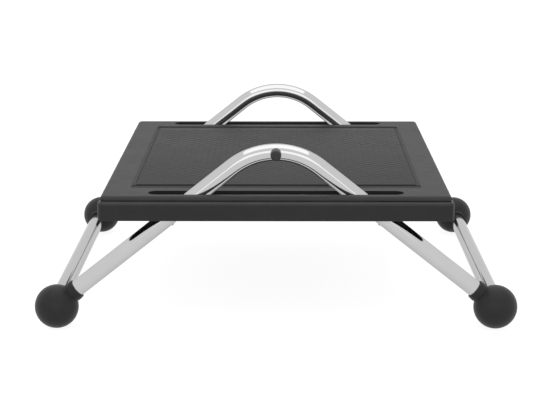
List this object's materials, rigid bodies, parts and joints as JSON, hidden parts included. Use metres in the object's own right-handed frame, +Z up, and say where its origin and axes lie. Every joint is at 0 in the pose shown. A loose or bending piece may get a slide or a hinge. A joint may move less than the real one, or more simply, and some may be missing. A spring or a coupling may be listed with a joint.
{
  "type": "tilting under desk footrest",
  "caption": "Rocking footrest: a black tray with a ribbed mat on a hinge between two chromed tube arches that stand on ball feet.",
  "frame": {"origin": "on the floor, in the middle of the four ball feet", "axes": "+Z up, +Y along the tilt axis from the front arch to the rear arch, +X across the tray from its left edge to its right edge"},
  "size_m": [0.4956, 0.4638, 0.1914],
  "materials": {
    "chromed_tube": "bright chrome plating",
    "chromed_strap": "chrome plating over laser-cut edges",
    "buffer_rubber": "satin black rubber",
    "bush_nylon": "natural nylon",
    "disc_fibre": "brown friction fibre",
    "pad_rubber": "matt black rubber",
    "foot_plastic": "satin moulded black plastic",
    "deck_plastic": "fine-grained charcoal plastic",
    "mat_rubber": "ribbed charcoal rubber",
    "frame_plastic": "fine-grained black plastic",
    "bracket_steel": "zinc-plated pressed steel",
    "zinc_steel": "zinc-plated screws"
  },
  "bodies": {
    "stand": {"front_arch_tube": "chromed_tube", "front_arch_buffer": "buffer_rubber", "front_hinge_strap": "chromed_strap", "front_hinge_bush": "bush_nylon", "front_left_foot": "foot_plastic", "front_right_foot": "foot_plastic", "front_left_foot_pad": "pad_rubber", "front_right_foot_pad": "pad_rubber", "rear_arch_tube": "chromed_tube", "rear_arch_buffer": "buffer_rubber", "rear_hinge_strap": "chromed_strap", "rear_hinge_bush": "bush_nylon", "rear_left_foot": "foot_plastic", "rear_right_foot": "foot_plastic", "rear_left_foot_pad": "pad_rubber", "rear_right_foot_pad": "pad_rubber", "left_side_tube": "chromed_tube", "right_side_tube": "chromed_tube", "foot_screws": "zinc_steel", "leg_screws": "zinc_steel"},
    "tray": {"deck": "deck_plastic", "grip_mat": "mat_rubber", "tray_frame": "frame_plastic", "deck_screws": "zinc_steel", "bracket_screws": "zinc_steel", "bracket_nuts": "zinc_steel", "front_tray_bracket": "bracket_steel", "front_hinge_bolt": "zinc_steel", "front_friction_disc": "disc_fibre", "front_spring_washer": "zinc_steel", "front_hinge_nut": "zinc_steel", "rear_tray_bracket": "bracket_steel", "rear_hinge_bolt": "zinc_steel", "rear_friction_disc": "disc_fibre", "rear_spring_washer": "zinc_steel", "rear_hinge_nut": "zinc_steel"}
  },
  "joints": [
    {"name": "tray_tilt", "type": "hinge", "parent": "stand", "child": "tray", "pos_m": [0, 0, 0.118], "axis": [0, 1, 0], "range_deg": [-11.5, 11.5]}
  ]
}
